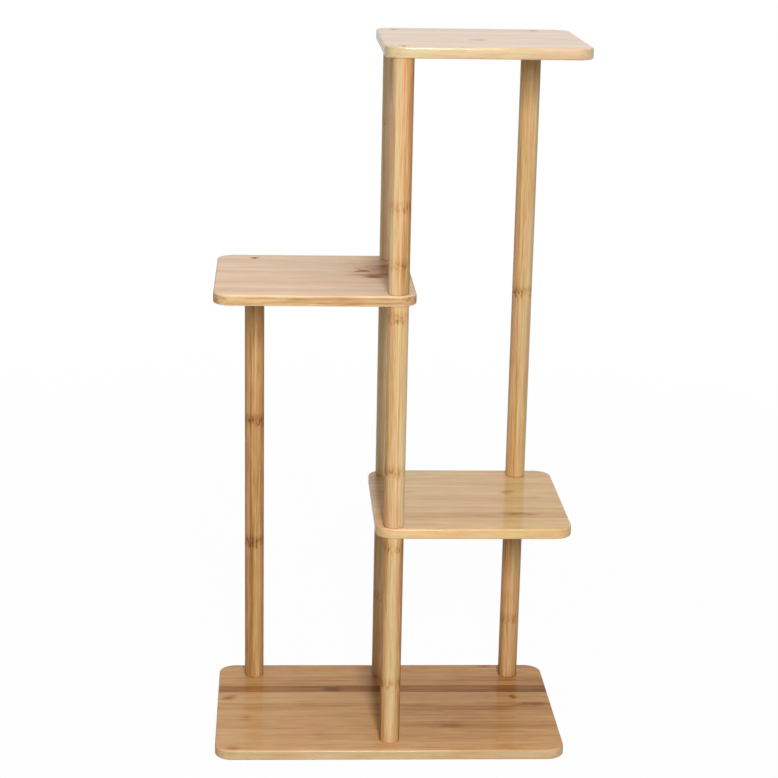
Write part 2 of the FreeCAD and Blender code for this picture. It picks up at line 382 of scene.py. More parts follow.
@dataclass(frozen=True)
class Bamboo(ABC):
    """Pressed bamboo under a clear satin lacquer.

    Strips are split from the cane's wall, steamed brown, planed, glued up side by side, sanded and
    sprayed with lacquer. The eye sees long straight fibres, each strip in a tone of its own, dark
    nodes, and a soft white gloss that grows towards a grazing view.
    """

    name: str
    seed: float = 0.0
    gloss: float = 0.5
    coat: float = 0.0
    coat_rough: float = 0.14
    rough: float = 0.45
    tones: tuple[tuple[float, str], ...] = (
        (0.0, "#5A3A1E"), (0.28, "#9C7042"), (0.5, "#C39A66"), (0.76, "#DDB988"),
        (1.0, "#F0D9B0"))
    warm: str = "#FFF0F0"
    cool: str = "#F8FBEA"

    GRAIN_AXIS: ClassVar[int] = 0
    # Real fibres are 0.1 to 0.3 mm wide. The finest layer is 1.2 mm wide, as the render needs.
    LAYERS: ClassVar[tuple[Layer, ...]] = (
        Layer(150, 20, 0, 0.2), Layer(260, 6, 1, 0.2), Layer(28, 6, 2, 0.22),
        Layer(120, 2.4, 1, 0.2), Layer(40, 1.2, 2, 0.32))
    HUE_LAYER: ClassVar[Layer] = Layer(80, 20, 2)
    BLOTCH_LAYER: ClassVar[Layer] = Layer(16, 7, 2)
    # The values of the hue layer at which the wood is at its warmest and at its coolest.
    WARMEST: ClassVar[float] = 0.38
    COOLEST: ClassVar[float] = 0.62
    # Each wood starts at a place of its own in the noise: its seed, times this.
    SEED_WAY: ClassVar[tuple[float, ...]] = (1.0, 0.37, 0.11)
    LACQUER_IOR: ClassVar[float] = 1.5
    FIBRE_RELIEF: ClassVar[float] = 0.15
    FIBRE_HEIGHT: ClassVar[float] = 0.1 * MM

    def streaks(self, graph: Graph, place: bpy.types.Node, layer: Layer) -> bpy.types.Node:
        """Adds a noise that is stretched along the grain.

        Args:
            graph: The material's graph.
            place: The place in the wood.
            layer: The length and width of its streaks.

        Returns:
            The noise, about 0.5 on average.
        """
        scale = [1 / (layer.width * MM)] * 3
        scale[self.GRAIN_AXIS] = 1 / (layer.length * MM)
        stretched = graph.add("VectorMath", place, tuple(scale), operation="MULTIPLY")
        return graph.add("TexNoise", stretched, named={"Scale": 1.0, "Detail": layer.detail})

    @abstractmethod
    def base_tone(self, graph: Graph, grain: bpy.types.NodeSocket) -> bpy.types.Node:
        """The tone of each strip, from its place in the wood, before the fibres are added."""

    @abstractmethod
    def marks(self, graph: Graph, grain: bpy.types.NodeSocket, blotches: bpy.types.Node,
              tone: bpy.types.Node) -> bpy.types.Node:
        """Takes the nodes of the cane, and on a board any painted shadow among its knots, off the
        tone. Blotches is a noise that frays them.
        """

    def edge_tint(self, graph: Graph, colour: bpy.types.NodeSocket) -> bpy.types.NodeSocket:
        """Tints the edges of a piece that has some. A post has none."""
        return colour

    def roughness(self, graph: Graph) -> float | bpy.types.Node:
        """The roughness, which is the same all over a post."""
        return self.rough

    def material(self) -> bpy.types.Material:
        """Makes the material. It reads the grain attribute, which is the place in the wood.

        The tone is the strip's own, plus each fibre layer's noise about its mean, less the nodes.
        A ramp turns it to a colour, which a slow noise then leans to yellow or to pink. The last
        layer, which is the finest, also gives the relief.

        Returns:
            The material.
        """
        made = bpy.data.materials.new(self.name)
        graph = Graph(made)
        grain = graph.add("Attribute", attribute_name=GRAIN).outputs["Vector"]
        start = tuple(self.seed * share for share in self.SEED_WAY)
        place = graph.add("VectorMath", grain, start)
        tone = self.base_tone(graph, grain)
        for layer in self.LAYERS:
            fibres = self.streaks(graph, place, layer)
            lifted = graph.add("Math", tone, layer.amount * NOISE_MEAN, operation="SUBTRACT")
            tone = graph.add("Math", fibres, layer.amount, lifted, operation="MULTIPLY_ADD")
        blotches = self.streaks(graph, place, self.BLOTCH_LAYER)
        tone = self.marks(graph, grain, blotches, tone)
        colour = graph.add("ValToRGB", tone,
                           stops=[(stop, linear(code)) for stop, code in self.tones])
        hue = graph.add("ValToRGB", self.streaks(graph, place, self.HUE_LAYER),
                        stops=[(self.WARMEST, linear(self.warm)),
                               (self.COOLEST, linear(self.cool))])
        tinted = graph.add("Mix", 1.0, named={6: colour, 7: hue}, data_type="RGBA",
                           blend_type="MULTIPLY").outputs[2]
        relief = graph.add("Bump", named={"Height": fibres, "Strength": self.FIBRE_RELIEF,
                                          "Distance": self.FIBRE_HEIGHT})
        surface = graph.add("BsdfPrincipled", self.edge_tint(graph, tinted), named={
            "Roughness": self.roughness(graph), "IOR": self.LACQUER_IOR,
            "Specular IOR Level": self.gloss, "Coat Weight": self.coat,
            "Coat Roughness": self.coat_rough, "Coat IOR": self.LACQUER_IOR, "Normal": relief})
        graph.add("OutputMaterial", surface)
        return made


@dataclass(frozen=True)
class BoardBamboo(Bamboo):
    """Bamboo board: strips about 22 mm wide lie side by side along X.

    The knots are the planed nodes that show on the upper face, and on tier three also a painted
    shadow. The rounded rim has a tone of its own, because it isn't sanded as finely as the faces.
    """

    strips: tuple[Strip, ...] = ()
    knots: tuple[Knot, ...] = ()
    width: float = 220 * MM
    depth: float = 220 * MM
    edge_tone: float = 0.62
    edge_colour: str = "#EAF6FC"
    edge_rough: float = 0.7

    # How far the blotches push a knot's outline, in shares of its half-length and half-width.
    FRAY: ClassVar[tuple[float, ...]] = (1.3, 1.0, 0.0)

    def edge_tint(self, graph: Graph, colour: bpy.types.NodeSocket) -> bpy.types.NodeSocket:
        """Multiplies the rim's colour by that of the cane's outer wall, which is a little greener.

        Args:
            graph: The material's graph.
            colour: The colour of the wood.

        Returns:
            The colour with its rim tinted.
        """
        rim = graph.add("Attribute", attribute_name=RIM).outputs["Fac"]
        return graph.add("Mix", rim, named={6: colour, 7: linear(self.edge_colour)},
                         data_type="RGBA", blend_type="MULTIPLY").outputs[2]

    def roughness(self, graph: Graph) -> float | bpy.types.Node:
        """The roughness, which is higher on the rim, where the lacquer soaks in."""
        rim = graph.add("Attribute", attribute_name=RIM).outputs["Fac"]
        return graph.add("MapRange", rim, 0.0, 1.0, self.rough, self.edge_rough)

    def base_tone(self, graph: Graph, grain: bpy.types.NodeSocket) -> bpy.types.Node:
        """Two ramps of strip tones across the board, for its left and its right end, mixed by the
        place along it. A strip starts at its front edge's share of the depth, from 0 at the
        front. The rim fades to its own tone.

        Args:
            graph: The material's graph.
            grain: The place in the wood.

        Returns:
            The tone.
        """
        parts = graph.add("SeparateXYZ", grain)
        across = graph.add("MapRange", parts.outputs["Y"], -self.depth / 2, self.depth / 2)
        along = graph.add("MapRange", parts.outputs["X"], -self.width / 2, self.width / 2)
        ends = []
        for tones in ([strip.left for strip in self.strips],
                      [strip.right for strip in self.strips]):
            stops = [(strip.front * MM / self.depth + 0.5, (tone, tone, tone, 1.0))
                     for strip, tone in zip(self.strips, tones)]
            ramp = graph.add("ValToRGB", across, stops=stops)
            ramp.color_ramp.interpolation = "CONSTANT"
            ends.append(ramp)
        face = graph.add("Mix", along, named={2: ends[0], 3: ends[1]})
        rim = graph.add("Attribute", attribute_name=RIM).outputs["Fac"]
        return graph.add("Mix", rim, named={2: face, 3: self.edge_tone})

    def marks(self, graph: Graph, grain: bpy.types.NodeSocket, blotches: bpy.types.Node,
              tone: bpy.types.Node) -> bpy.types.Node:
        """Each knot is an ellipse whose outline the blotches fray, darkest in its middle.

        Args:
            graph: The material's graph.
            grain: The place in the wood.
            blotches: The noise that frays the knots.
            tone: The tone of the strips and fibres.

        Returns:
            The tone less the knots.
        """
        frayed = graph.add("VectorMath", blotches.outputs["Color"], (NOISE_MEAN,) * 3,
                           operation="SUBTRACT")
        for knot in self.knots:
            offset = graph.add("VectorMath", grain, (knot.x * MM, knot.y * MM, 0),
                               operation="SUBTRACT")
            scaled = graph.add("VectorMath", offset,
                               (1 / (knot.length * MM), 1 / (knot.width * MM), 0),
                               operation="MULTIPLY")
            scattered = graph.add("VectorMath", frayed, self.FRAY, scaled,
                                  operation="MULTIPLY_ADD")
            reach = graph.add("VectorMath", scattered, operation="LENGTH").outputs["Value"]
            smudge = graph.add("MapRange", reach, 0.0, 1.0, knot.depth, 0.0,
                               interpolation_type="SMOOTHSTEP")
            tone = graph.add("Math", tone, smudge, operation="SUBTRACT")
        return tone


@dataclass(frozen=True)
class PostBamboo(Bamboo):
    """Bamboo rod, turned from a glued-up blank, so its strips stand upright side by side."""

    name: str = "lacquered_bamboo_rod"
    gloss: float = 0.12
    coat: float = 0.1
    rough: float = 0.5
    tones: tuple[tuple[float, str], ...] = (
        (0.0, "#5E3A1B"), (0.3, "#9E7445"), (0.45, "#BC9260"), (0.6, "#C7AB80"),
        (0.8, "#D7BF96"), (1.0, "#E4D1B0"))
    strip_width: float = 6 * MM
    strip_contrast: float = 0.14

    GRAIN_AXIS: ClassVar[int] = 2
    LAYERS: ClassVar[tuple[Layer, ...]] = (
        Layer(220, 5, 1, 0.3), Layer(110, 2.2, 1, 0.4), Layer(30, 1.2, 2, 0.44))
    HUE_LAYER: ClassVar[Layer] = Layer(140, 3.5, 1)
    BLOTCH_LAYER: ClassVar[Layer] = Layer(5, 2.5, 3)
    NODE_REACH: ClassVar[float] = 11 * MM
    NODE_WANDER: ClassVar[float] = 14 * MM
    # Between these values the blotches turn from the faint halo of a node to its full dark.
    FLECK_START: ClassVar[float] = 0.5
    FLECK_FULL: ClassVar[float] = 0.62
    NODE_HALO: ClassVar[float] = 0.3

    def base_tone(self, graph: Graph, grain: bpy.types.NodeSocket) -> bpy.types.Node:
        """A tone by chance for each strip of the blank, plus the whole post's own.

        Args:
            graph: The material's graph.
            grain: The place in the wood.

        Returns:
            The tone.
        """
        parts = graph.add("SeparateXYZ", grain)
        count = graph.add("Math", parts.outputs["X"], self.strip_width, operation="DIVIDE")
        number = graph.add("Math", count, operation="FLOOR")
        chance = graph.add("TexWhiteNoise", named={"W": number}, noise_dimensions="1D")
        whole = graph.add("Attribute", attribute_name=TONE).outputs["Fac"]
        return graph.add("Math", chance, self.strip_contrast, whole, operation="MULTIPLY_ADD")

    def marks(self, graph: Graph, grain: bpy.types.NodeSocket, blotches: bpy.types.Node,
              tone: bpy.types.Node) -> bpy.types.Node:
        """Each node is a low, uneven band of dark flecks. Its attribute holds the heights of the
        post's two nodes, and how dark they are.

        Args:
            graph: The material's graph.
            grain: The place in the wood.
            blotches: The noise that gives the flecks and makes the bands wander.
            tone: The tone of the strips and fibres.

        Returns:
            The tone less the nodes.
        """
        parts = graph.add("SeparateXYZ", grain)
        nodes = graph.add("SeparateXYZ",
                          graph.add("Attribute", attribute_name=NODES).outputs["Vector"])
        flecks = graph.add("MapRange", blotches, self.FLECK_START, self.FLECK_FULL,
                           self.NODE_HALO, 1.0)
        strength = graph.add("Math", flecks, nodes.outputs["Z"], operation="MULTIPLY")
        wander = graph.add("Math", blotches, self.NODE_WANDER, -self.NODE_WANDER * NOISE_MEAN,
                           operation="MULTIPLY_ADD")
        height = graph.add("Math", parts.outputs["Z"], wander)
        for axis in "XY":
            away = graph.add("Math", height, nodes.outputs[axis], operation="SUBTRACT")
            distance = graph.add("Math", away, operation="ABSOLUTE")
            band = graph.add("MapRange", distance, 0.0, self.NODE_REACH, 1.0, 0.0,
                             interpolation_type="SMOOTHSTEP")
            dark = graph.add("Math", band, strength, operation="MULTIPLY")
            tone = graph.add("Math", tone, dark, operation="SUBTRACT")
        return tone


# The base is darker towards its right end, which is painted shade under the lower shelf, and one
# strip behind its middle is brown.
BASE_BAMBOO = BoardBamboo(
    "lacquered_bamboo_base", 0.31, gloss=0.05, coat=0.18, width=400 * MM, depth=250 * MM,
    edge_tone=0.67, edge_colour="#E6F1F8", warm="#FFF7F4", cool="#FCFCF2",
    tones=((0.0, "#54300E"), (0.28, "#A26E3A"), (0.5, "#CB9C68"), (0.76, "#DFBD92"),
           (1.0, "#EEDAB8")),
    # Each strip's right tone is lower than its left: painted shade under the lower shelf.
    strips=(Strip(-125, 0.62, 0.47), Strip(-101, 0.61, 0.46), Strip(-67, 0.54, 0.39),
            Strip(-46, 0.57, 0.46), Strip(-15, 0.54, 0.42), Strip(7, 0.6, 0.5),
            Strip(39, 0.31, 0.2), Strip(59, 0.5, 0.42), Strip(86, 0.56, 0.46),
            Strip(106, 0.58, 0.48)),
    knots=(Knot(-61, 48, 22, 9, 0.22), Knot(156, 24, 6, 11, 0.34), Knot(182, 5, 34, 10, 0.3),
           Knot(-186, 23, 14, 12, 0.3), Knot(-167, -35, 12, 11, 0.14),
           Knot(-179, -117, 12, 11, 0.22), Knot(76, -56, 26, 11, 0.16),
           Knot(132, 120, 14, 8, 0.2), Knot(30, 0, 50, 8, 0.08)))

# Tier two is pale and golden, and glossier than the base.
TIER_TWO_BAMBOO = BoardBamboo(
    "lacquered_bamboo_tier_two", 1.73, gloss=0.05, coat=0.45, edge_tone=0.72,
    edge_colour="#EEF4F4", warm="#FFF3F0", cool="#FBFBEA",
    strips=(Strip(-110, 0.8, 0.74), Strip(-71, 0.74, 0.6), Strip(-50, 0.84, 0.72),
            Strip(-28, 0.88, 0.73), Strip(-8, 0.84, 0.71), Strip(14, 0.9, 0.75),
            Strip(36, 0.88, 0.72), Strip(58, 0.92, 0.75), Strip(80, 0.88, 0.7)),
    knots=(Knot(50, 24, 12, 12, 0.36), Knot(54, -56, 34, 11, 0.26), Knot(82, 5, 12, 9, 0.14),
           Knot(15, -60, 22, 10, 0.08)))

# Tier three is pinker, with hardly any gloss, and its ramp is paler to paint in the white sheen of
# a grazing view. It has a group of dark nodes at the right, and a broad dark patch that is the
# painted shadow of the centre front post.
TIER_THREE_BAMBOO = BoardBamboo(
    "lacquered_bamboo_tier_three", 3.07, gloss=0.03, coat=0.1, edge_tone=0.43,
    edge_colour="#F0F4E4", warm="#FFF5F4", cool="#FBFBF2",
    # A paler ramp: painted sheen in place of the lacquer's gloss.
    tones=((0.0, "#5A2C12"), (0.28, "#A46A3C"), (0.5, "#D7B391"), (0.76, "#E9D0B6"),
           (1.0, "#F7E7D3")),
    strips=(Strip(-110, 0.7, 0.7), Strip(-90, 0.63, 0.68), Strip(-70, 0.72, 0.7),
            Strip(-48, 0.66, 0.64), Strip(-26, 0.72, 0.64), Strip(-4, 0.66, 0.62),
            Strip(18, 0.7, 0.64), Strip(40, 0.72, 0.66), Strip(62, 0.68, 0.66),
            Strip(84, 0.72, 0.68)),
    # The last knot is no node: it is the painted shadow of the centre front post above the board.
    knots=(Knot(56, 22, 11, 13, 0.38), Knot(66, -8, 15, 15, 0.41), Knot(76, 30, 50, 80, 0.3)))

# The top has the glossiest lacquer, one thin darker strip, and a dark node near its middle.
TOP_BAMBOO = BoardBamboo(
    "lacquered_bamboo_top", 4.19, coat=0.6, edge_tone=0.62, edge_colour="#ECF8FF",
    warm="#FFF5F2",
    tones=((0.0, "#5A3A1E"), (0.28, "#9C7042"), (0.5, "#C39C70"), (0.76, "#DDBC94"),
           (1.0, "#F0DCBC")),
    strips=(Strip(-110, 0.56, 0.56), Strip(-84, 0.58, 0.58), Strip(-60, 0.54, 0.54),
            Strip(-25, 0.44, 0.48), Strip(-21, 0.58, 0.56), Strip(20, 0.54, 0.54),
            Strip(42, 0.58, 0.58), Strip(66, 0.52, 0.52), Strip(88, 0.54, 0.54)),
    knots=(Knot(-6, -24, 16, 16, 0.5),))


@dataclass(frozen=True)
class ZincPlate:
    """Steel with bright zinc plating: a pale grey metal with a fine grain of crystals.

    The sockets of the bolts are painted nearly black, as painted shade in the recess.
    """

    name: str = "bright_zinc_plated_steel"
    pale: str = "#BCAF9A"
    dull: str = "#A4977F"
    # Nearly black: the colour of the painted shade in the bolts' sockets.
    painted_socket_shade: str = "#544B3D"
    rough: float = 0.4
    crystals_per_metre: float = 1800.0
    crystal_relief: float = 0.1
    crystal_height: float = 0.02 * MM

    # The values of the noise at which a crystal is at its dullest and at its palest.
    DULLEST: ClassVar[float] = 0.35
    PALEST: ClassVar[float] = 0.65

    def material(self) -> bpy.types.Material:
        """Makes the material: crystals in Object coordinates, and painted socket shade where its
        attribute says.

        Returns:
            The material.
        """
        made = bpy.data.materials.new(self.name)
        graph = Graph(made)
        place = graph.add("TexCoord").outputs["Object"]
        crystals = graph.add("TexNoise", place, named={"Scale": self.crystals_per_metre})
        plate = graph.add("ValToRGB", crystals, stops=[(self.DULLEST, linear(self.dull)),
                                                       (self.PALEST, linear(self.pale))])
        # Painted shade: the sockets are darkened to this colour where the attribute is 1.
        socket_shade_share = graph.add("Attribute", attribute_name=PAINTED_SOCKET_SHADE).outputs["Fac"]
        colour = graph.add("Mix", socket_shade_share, named={6: plate, 7: linear(self.painted_socket_shade)},
                           data_type="RGBA").outputs[2]
        relief = graph.add("Bump", named={"Height": crystals, "Strength": self.crystal_relief,
                                          "Distance": self.crystal_height})
        surface = graph.add("BsdfPrincipled", colour, named={
            "Metallic": 1.0, "Roughness": self.rough, "Normal": relief})
        graph.add("OutputMaterial", surface)
        return made


@dataclass(frozen=True)
class Drilling:
    """The sizes of the holes and fasteners, which are standard ones. Widths are radii."""

    drill: float = 3.25 * MM
    mouth: float = 6.2 * MM
    thread: float = 3.0 * MM
    head: float = 5.5 * MM
    sink: float = 0.3 * MM
    rim: float = 0.4 * MM
    insert: float = 4.5 * MM
    insert_length: float = 15 * MM
    drill_depth: float = 24 * MM
    point_deg: float = 118.0

    @property
    def tip(self) -> float:
        """The depth of the drill's point: its radius over the tangent of half its angle."""
        return self.drill / math.tan(math.radians(self.point_deg / 2))


SIZES = Drilling()


class Hole(Enum):
    """How a board is drilled for a fastener."""

    THROUGH = "straight through, for a stud"
    SUNK_ABOVE = "countersunk from above, for a bolt"
    SUNK_BELOW = "countersunk from below, for a bolt"

    def wall(self, top: float, bottom: float) -> list[Row]:
        """The wall of the hole. A countersink has 90 degrees, so it is as deep as it widens.

        Args:
            top: The height of the board's upper face.
            bottom: The height of its lower face.

        Returns:
            Rows of (radius, height), from the top down.
        """
        cone = SIZES.mouth - SIZES.drill
        if self is Hole.SUNK_ABOVE:
            return [(SIZES.mouth, top), (SIZES.drill, top - cone), (SIZES.drill, bottom)]
        if self is Hole.SUNK_BELOW:
            return [(SIZES.drill, top), (SIZES.drill, bottom + cone), (SIZES.mouth, bottom)]
        return [(SIZES.drill, top), (SIZES.drill, bottom)]


@dataclass
class Board:
    """A board with rounded corners and edges, and its drilled or countersunk holes."""

    node: str
    piece: str
    finish: BoardBamboo
    holes: tuple[tuple[float, float, Hole], ...]
    corner: float = 20 * MM
    edge: float = 2 * MM
    corner_steps: int = 20
    edge_steps: int = 8
    hole_steps: int = 48

    def outline(self, inset: float) -> np.ndarray:
        """The board's outline, drawn in by an inset: straight sides with a quarter circle at each
        corner, whose point at angle a is corner centre + (corner radius - inset)(cos a, sin a).

        Args:
            inset: How far inside the edge it runs.

        Returns:
            Rows of (x, y), anticlockwise.
        """
        low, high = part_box(self.node)
        reach = self.corner - inset
        angle = np.linspace(0, np.pi / 2, self.corner_steps + 1)
        quarters = []
        for quarter, (x, y) in enumerate(((high.x - self.corner, high.y - self.corner),
                                          (low.x + self.corner, high.y - self.corner),
                                          (low.x + self.corner, low.y + self.corner),
                                          (high.x - self.corner, low.y + self.corner))):
            turned = angle + quarter * np.pi / 2
            quarters.append(np.c_[x + reach * np.cos(turned), y + reach * np.sin(turned)])
        return np.vstack(quarters)

    def add_rim(self, shell: Shell) -> None:
        """Adds the rounded rim, a profile carried round the outline.

        Over the quarter rounds the profile's inset is edge (1 - cos a), and it lies
        edge (1 - sin a) below the upper face or above the lower one.

        Args:
            shell: The board's surface.
        """
        low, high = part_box(self.node)
        angle = np.linspace(np.pi / 2, 0, self.edge_steps + 1)
        inset = self.edge * (1 - np.cos(angle))
        drop = self.edge * (1 - np.sin(angle))
        insets = np.r_[inset, inset[::-1]]
        heights = np.r_[high.z - drop, low.z + drop[::-1]]
        loops = [self.outline(inset) for inset in insets]
        shell.add_grid(np.array([np.c_[loop, np.full(len(loop), height)]
                                 for loop, height in zip(loops, heights)]))

    def add_faces(self, shell: Shell) -> None:
        """Adds the walls of the holes, and the two faces that they pierce.

        Args:
            shell: The board's surface.
        """
        low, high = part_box(self.node)
        tops, bottoms = [self.outline(self.edge)], [self.outline(self.edge)]
        for x, y, hole in self.holes:
            wall = hole.wall(high.z, low.z)
            tops.append(circle(wall[0][0], self.hole_steps, x, y))
            bottoms.append(circle(wall[-1][0], self.hole_steps, x, y))
            shell.add_turned(wall, self.hole_steps, x, y, inside=True)
        shell.add_flat(tops, high.z, up=True)
        shell.add_flat(bottoms, low.z, up=False)

    def make(self) -> None:
        """Builds the board. Its grain is measured from its middle, and its rim grows from 0 on the
        faces to 1 where the rounding ends.
        """
        shell = Shell()
        self.add_rim(shell)
        self.add_faces(shell)
        piece = shell.make(self.piece, self.finish.material())
        low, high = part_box(self.node)
        points = read_points(piece)
        write_attribute(piece, GRAIN, points - (np.array(low) + np.array(high)) / 2)
        depth = np.minimum(points[:, 2] - low.z, high.z - points[:, 2])
        write_attribute(piece, RIM, np.clip(depth / self.edge, 0, 1))
        stand_in(piece, self.node)


@dataclass
class Post:
    """A turned post with bevelled ends and a stepped blind hole in each.

    Its wood is its own: how far it is turned, how far it is shifted across and along the blank,
    its tone, and the heights in mm and the depth of tone of two nodes of the cane. Painted light
    is added on top: how much lighter its right side is painted, as painted light from the key
    lamp, and how much darker both sides are painted, as painted shade where the post turns away.
    """

    node: str
    piece: str
    turn_deg: float
    shift: float
    tone: float
    painted_side_light: float
    painted_limb_shade: float
    nodes: tuple[float, float]
    node_depth: float
    bevel: float = 1 * MM
    steps: int = 72

    def profile(self, radius: float) -> list[Row]:
        """The post's section, from the upper drill tip round the outside to the lower one.

        Args:
            radius: The post's radius.

        Returns:
            Rows of (radius, height).
        """
        low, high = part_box(self.node)
        half = [(0.0, SIZES.drill_depth + SIZES.tip), (SIZES.drill, SIZES.drill_depth),
                (SIZES.drill, SIZES.insert_length), (SIZES.insert, SIZES.insert_length),
                (SIZES.insert, 0.0), (radius - self.bevel, 0.0), (radius, self.bevel)]
        upper = [(reach, high.z - depth) for reach, depth in half]
        return upper + [(reach, low.z + depth) for reach, depth in reversed(half)]

    def make(self, material: bpy.types.Material) -> None:
        """Builds the post by turning its profile about its axis, and gives it its wood and painted
        light.

        With s from -1 at the left to 1 at the right its tone is tone + a s - b s^2, where a paints
        the right side lighter and b paints both sides darker: painted light and painted shade.

        Args:
            material: The bamboo of all the posts.
        """
        low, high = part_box(self.node)
        x, y = post_axis(self.node)
        radius = (high.x - low.x) / 2
        shell = Shell()
        shell.add_turned(self.profile(radius), self.steps, x, y)
        piece = shell.make(self.piece, material)
        points = read_points(piece) - np.array([x, y, 0])
        turn = math.radians(self.turn_deg)
        about = np.array([[math.cos(turn), -math.sin(turn), 0],
                          [math.sin(turn), math.cos(turn), 0], [0, 0, 1]])
        write_attribute(piece, GRAIN, points @ about.T + np.array([self.shift, 0, self.shift]))
        # Painted light and shade: the right side is painted lighter and both sides darker.
        aside = points[:, 0] / radius
        write_attribute(piece, TONE, self.tone + self.painted_side_light * aside - self.painted_limb_shade * aside ** 2)
        heights = np.array(self.nodes) * MM + self.shift
        write_attribute(piece, NODES, np.tile([*heights, self.node_depth], (len(points), 1)))
        stand_in(piece, self.node)


@dataclass(frozen=True)
class Thread:
    """A right-handed screw thread with sharp crests."""

    pitch: float
    depth: float
    rows_a_turn: int = 6
    fewest_rows: int = 3

    def rows(self, crest: float, top: float, bottom: float, steps: int) -> list[Row]:
        """Works out the thread from one height to another.

        The radius is crest - depth |2 f - 1|, where f is the fractional part of
        height / pitch - angle / turn. Threads of one pitch share it, so they fit each other.

        Args:
            crest: The outer radius.
            top: Where it starts.
            bottom: Where it ends.
            steps: Points a row.

        Returns:
            Rows of (radius, height), with a radius for every step round the axis.
        """
        turns = abs(top - bottom) / self.pitch
        count = max(self.fewest_rows, round(turns * self.rows_a_turn) + 1)
        angle = np.linspace(0, 1, steps, endpoint=False)
        rows = []
        for height in np.linspace(top, bottom, count):
            phase = (height / self.pitch - angle) % 1.0
            rows.append((crest - self.depth * np.abs(2 * phase - 1), height))
        return rows


@dataclass
class Fastener(ABC):
    """What bolts, studs and inserts share: a metric thread, cut in place."""

    node: str
    piece: str
    places: tuple[tuple[float, float, float], ...]
    thread: Thread = Thread(1 * MM, 0.55 * MM)
    steps: int = 24

    @abstractmethod
    def add_one(self, shell: Shell, x: float, y: float, z: float) -> None:
        """Adds one fastener to the shell, at a place that the kind of fastener gives a meaning."""

    def add_rod(self, shell: Shell, x: float, y: float, ahead: list[Row], thread: list[Row],
                behind: list[Row], inside: bool = False) -> None:
        """Adds a threaded rod with sharp-edged stretches at both ends.

        Args:
            shell: The surface of the group.
            x: Where the axis stands.
            y: Where the axis stands.
            ahead: The rows before the thread.
            thread: The rows of the thread.
            behind: The rows after it.
            inside: True for rows that go up.
        """
        shell.add_turned([*ahead, thread[0]], self.steps, x, y, inside)
        shell.add_grid(turn_profile(thread, self.steps, x, y), inside)
        shell.add_turned([thread[-1], *behind], self.steps, x, y, inside)

    def make(self, material: bpy.types.Material) -> None:
        """Builds the group as one piece.

        Args:
            material: The plated steel.
        """
        shell = Shell()
        for x, y, z in self.places:
            self.add_one(shell, x, y, z)
        piece = shell.make(self.piece, material)
        write_attribute(piece, PAINTED_SOCKET_SHADE, self.socket_shade_share(read_points(piece)))
        stand_in(piece, self.node)

    def socket_shade_share(self, points: np.ndarray) -> np.ndarray:
        """How much painted shade each point gets, from 0 to 1. Only the sockets of bolts get any.
        """
        return np.zeros(len(points))


@dataclass
class Bolts(Fastener):
    """Countersunk bolts with hexagon sockets. A place is on the face that the head is sunk in."""

    upside_down: bool = False
    length: float = 32 * MM
    socket: float = 4 * MM
    socket_depth: float = 2.6 * MM
    bevel: float = 0.8 * MM
    plain_neck: float = 1 * MM
    shade_margin: float = 1 * MM

    # The flat of the head has a ring of points round the socket, this much wider than the socket.
    RING: ClassVar[float] = 1.05
    # A reach this much longer takes in the points that lie on its limit.
    JUST_OVER: ClassVar[float] = 1.001

    def add_one(self, shell: Shell, x: float, y: float, z: float) -> None:
        """Adds a bolt: socket, rim, cone, thread and tip, from the middle of the socket's floor.

        The socket's radius at angle a is half its width over cos(a'), with a' the angle to the
        middle of the nearest flat.

        Args:
            shell: The surface of the group.
            x: Where the axis stands.
            y: Where the axis stands.
            z: The height of the board's face.
        """
        way = -1.0 if self.upside_down else 1.0
        angle = np.linspace(0, 2 * np.pi, self.steps, endpoint=False)
        from_flat = (angle + np.pi / 6) % (np.pi / 3) - np.pi / 6
        hexagon = self.socket / 2 / np.cos(from_flat)
        top = z - way * SIZES.sink
        floor = top - way * self.socket_depth
        neck = top - way * (SIZES.rim + SIZES.head - SIZES.thread)
        tip = top - way * self.length
        head = [(0.0, floor), (hexagon, floor), (hexagon, top), (hexagon * self.RING, top),
                (SIZES.head, top), (SIZES.head, top - way * SIZES.rim), (SIZES.thread, neck)]
        thread = self.thread.rows(SIZES.thread, neck - way * self.plain_neck,
                                  tip + way * self.bevel, self.steps)
        end = [(SIZES.thread - self.thread.depth, tip), (0.0, tip)]
        self.add_rod(shell, x, y, head, thread, end, self.upside_down)

    def socket_shade_share(self, points: np.ndarray) -> np.ndarray:
        """Painted shade of the socket: 1 at the points of a head nearer to its axis than the
        socket's corners, else 0.

        Args:
            points: The points of the piece.

        Returns:
            One number a point.
        """
        away = np.array([np.hypot(points[:, 0] - x, points[:, 1] - y) for x, y, _ in self.places])
        corners = self.socket / 2 / math.cos(math.pi / 6)
        in_head = np.array([np.abs(points[:, 2] - z) < self.socket_depth + self.shade_margin
                            for _, _, z in self.places])
        return ((away < corners * self.JUST_OVER) & in_head).any(axis=0).astype(float)


@dataclass
class Studs(Fastener):
    """Threaded studs. A place is a stud's middle."""

    length: float = 50 * MM
    bevel: float = 0.8 * MM

    def add_one(self, shell: Shell, x: float, y: float, z: float) -> None:
        """Adds a stud: thread from end to end, with a bevel and a flat at both ends.

        Args:
            shell: The surface of the group.
            x: Where the axis stands.
            y: Where the axis stands.
            z: The height of the stud's middle.
        """
        top, bottom = z + self.length / 2, z - self.length / 2
        core = SIZES.thread - self.thread.depth
        thread = self.thread.rows(SIZES.thread, top - self.bevel, bottom + self.bevel, self.steps)
        self.add_rod(shell, x, y, [(0.0, top), (core, top)], thread,
                     [(core, bottom), (0.0, bottom)])


